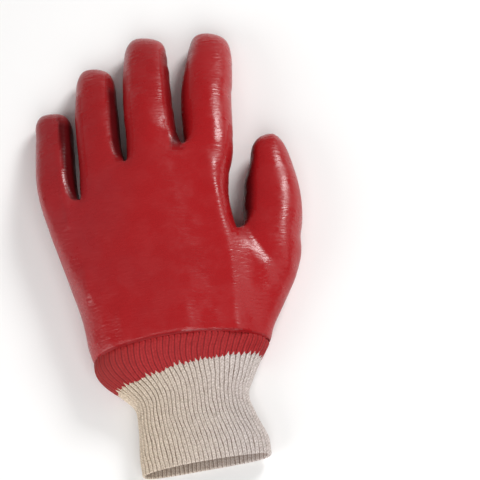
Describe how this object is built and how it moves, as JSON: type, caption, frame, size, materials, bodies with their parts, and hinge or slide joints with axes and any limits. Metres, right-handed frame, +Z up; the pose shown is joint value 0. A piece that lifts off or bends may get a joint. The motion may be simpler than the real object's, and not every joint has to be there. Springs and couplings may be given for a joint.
{
  "type": "pvc coated work glove",
  "caption": "Left-hand work glove lying palm down, its hand dipped in red PVC, with a ribbed knit wrist that the dip has partly soaked.",
  "frame": {"origin": "middle of the glove's bounding box, on the surface that it lies on", "axes": "+Y from the wrist opening to the fingertips, +X to the thumb, +Z up from the palm to the back of the hand"},
  "size_m": [0.15, 0.2612, 0.0406],
  "materials": {
    "pvc_coat": "semi-gloss soft PVC over cotton jersey",
    "pvc_soaked_rib": "thin satin PVC soaked into knit ribs",
    "cotton_rib": "matt unbleached cotton rib knit"
  },
  "bodies": {
    "root": {"coated_hand": "pvc_coat", "dipped_band": "pvc_soaked_rib", "knit_cuff": "cotton_rib"}
  },
  "joints": []
}
